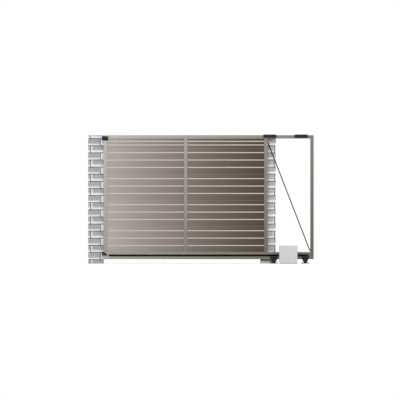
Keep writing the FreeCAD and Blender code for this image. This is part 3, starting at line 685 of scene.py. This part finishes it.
def add_round(shape, radius, low, high, sides, rounding):
    """Adds an upright round or six-sided solid with a rounded upper rim."""
    made = bmesh.ops.create_cone(
        shape, cap_ends=True, segments=sides, radius1=radius, radius2=radius, depth=high - low
    )["verts"]
    middle = (low + high) / 2
    bmesh.ops.translate(shape, verts=made, vec=(0.0, 0.0, middle))
    edges = {edge for vert in made for edge in vert.link_edges}
    rim = [edge for edge in edges if min(vert.co.z for vert in edge.verts) > middle]
    round_edges(shape, rim, rounding)


def fasteners(name, body, finish, places, flats, head, washer, stud=0.0):
    """One piece with a washer, a six-sided head and, on studs, a stud end at each place, along its axis."""
    shape = bmesh.new()
    for spot, axis in places:
        before = set(shape.verts)
        add_round(shape, flats * WASHER_REACH, 0.0, washer, sides=20, rounding=washer / 3)
        add_round(shape, flats / math.sqrt(3), washer, washer + head, sides=6, rounding=head / 6)
        if stud:
            end = washer + head + stud
            add_round(shape, flats / 3, washer + head, end, sides=12, rounding=flats / 16)
        fresh = [vert for vert in shape.verts if vert not in before]
        turn = Vector(UP).rotation_difference(Vector(axis)).to_matrix().to_4x4()
        bmesh.ops.transform(shape, matrix=Matrix.Translation(spot) @ turn, verts=fresh)
    piece(name, shape, body, finish)


def round_middle(node, reach, height=None):
    """Four places round the middle of a node over the leaf's plane, on its top unless a height is given."""
    low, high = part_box(node)
    x = (low[0] + high[0]) / 2
    z = high[2] if height is None else height
    return [
        ((x + along, LEAF_PLANE + across, z), UP)
        for along in (-reach[0], reach[0])
        for across in (-reach[1], reach[1])
    ]


def rack_screws():
    """Flat screws through the rack's bosses, three to a length, that pass close behind the drive."""
    places = []
    for node in sorted(name for name in nodes if name.startswith("gear_rack_")):
        low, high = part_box(node)
        for share in BOSS_SHARES:
            x = low[0] + (high[0] - low[0]) * share
            places.append(((x, low[1], high[2] - BOSS_DROP), TO_YARD))
    fasteners("rack_screws", "leaf", HARDWARE, places, flats=0.0115, head=0.0015, washer=0.001)


def carriage_anchors():
    """Nuts on the anchor studs of both carriages' foot plates."""
    places = []
    for node in ("front_carriage", "rear_carriage"):
        places += round_middle(node, ANCHOR_REACH, FOOT_TOP)
    fasteners(
        "carriage_anchor_nuts", "gateway", ZINC, places, flats=0.018, head=0.010, washer=0.0025, stud=0.008
    )


def guide_nuts():
    """Thin nuts on the guide rollers' studs, over both guide brackets."""
    places = []
    for node in ("front_guide_bracket", "rear_guide_bracket"):
        places += round_middle(node, STUD_REACH)
    fasteners("guide_stud_nuts", "gateway", HARDWARE, places, flats=0.016, head=0.004, washer=0.001)


def bar_bolts():
    """Bolts that hold the rear guide bracket to the bar, seen from the street."""
    low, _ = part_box("rear_guide_bracket")
    _, bar_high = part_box("guide_bar")
    z = (low[2] + bar_high[2]) / 2
    places = [((low[0] + inset, bar_high[1], z), TO_STREET) for inset in BAR_BOLT_INSETS]
    fasteners("guide_bar_bolts", "gateway", HARDWARE, places, flats=0.015, head=0.006, washer=0.002)


def catcher_bolts():
    """Bolts through the catchers' tongues into the pillar's inner face."""
    _, pillar_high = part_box("catch_pillar")
    x = pillar_high[0] + TONGUE_THICK
    places = []
    for node in ("upper_catcher", "lower_catcher"):
        low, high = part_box(node)
        for inset in CATCHER_INSETS:
            for rise in CATCHER_RISES:
                places.append(((x, high[1] - inset, low[2] + rise), OPENING_WAY))
    fasteners("catcher_bolts", "gateway", ZINC, places, flats=0.013, head=0.006, washer=0.002)


rack_screws()
carriage_anchors()
guide_nuts()
bar_bolts()
catcher_bolts()


# Stage, light and camera

FLOOR_REACH = 30.0
FLOOR_DROP = 0.001
FLOOR_SHADE = (0.82, 0.82, 0.82, 1.0)
FLOOR_GLOW = 0.3
SKY_LIGHT = 0.65
SOFTBOX_ANGLE = 60

# The width that the camera takes in at the leaf, the middle of its view, and how far away it stands
VIEW_WIDTH = 7.668
VIEW_X = -1.304
VIEW_Z = 1.217
VIEW_DISTANCE = 290.0


def stage():
    """A pale floor just under the gate, which looks white and keeps the shadow."""
    shape = bmesh.new()
    bmesh.ops.create_grid(shape, x_segments=1, y_segments=1, size=FLOOR_REACH)
    bmesh.ops.translate(shape, verts=shape.verts, vec=(0.0, 0.0, -FLOOR_DROP))
    mesh = bpy.data.meshes.new("floor")
    shape.to_mesh(mesh)
    shape.free()
    pale, tree, shader = finish_of("pale_floor", specular=0.1)
    shader.inputs["Base Color"].default_value = FLOOR_SHADE
    shader.inputs["Roughness"].default_value = 0.9
    shader.inputs["Emission Color"].default_value = WHITE
    glow = tree.math("MULTIPLY", tree.seen_directly(), FLOOR_GLOW)
    tree.link(glow, shader.inputs["Emission Strength"])
    mesh.materials.append(pale)
    floor = linked("floor", mesh)


def sky():
    """Even light from all round, and plain white behind the gate."""
    world = bpy.data.worlds.new("studio")
    bpy.context.scene.world = world
    world.use_nodes = True
    tree = Tree(world.node_tree)
    soft = world.node_tree.nodes["Background"]
    soft.inputs["Color"].default_value = WHITE
    soft.inputs["Strength"].default_value = SKY_LIGHT
    white = tree.node("ShaderNodeBackground")
    white.inputs["Color"].default_value = WHITE
    white.inputs["Strength"].default_value = 1.0
    both = tree.node("ShaderNodeMixShader")
    tree.link(tree.seen_directly(), both.inputs[0])
    tree.link(soft.outputs[0], both.inputs[1])
    tree.link(white.outputs[0], both.inputs[2])
    tree.link(both.outputs[0], world.node_tree.nodes["World Output"].inputs["Surface"])


def lamp(name, energy, tilt, turn):
    """A broad, distant softbox: tilt is its angle from straight down, turn its direction round the gate."""
    data = bpy.data.lights.new(name, "SUN")
    data.energy = energy
    data.angle = math.radians(SOFTBOX_ANGLE)
    obj = linked(name, data)
    obj.rotation_euler = (math.radians(tilt), 0.0, math.radians(turn))


def camera():
    """A very long lens far away, which sees the gate square on and nearly without perspective."""
    data = bpy.data.cameras.new("front")
    data.lens = data.sensor_width * VIEW_DISTANCE / VIEW_WIDTH
    data.clip_end = VIEW_DISTANCE * 2
    obj = linked("front", data)
    obj.location = (VIEW_X, LEAF_PLANE - VIEW_DISTANCE, VIEW_Z)
    obj.rotation_euler = (math.radians(90), 0.0, 0.0)
    bpy.context.scene.camera = obj


stage()
sky()
lamp("front_softbox", energy=1.25, tilt=72, turn=-2)
lamp("street_softbox", energy=0.7, tilt=55, turn=150)
camera()
bpy.context.scene.view_settings.view_transform = "Standard"
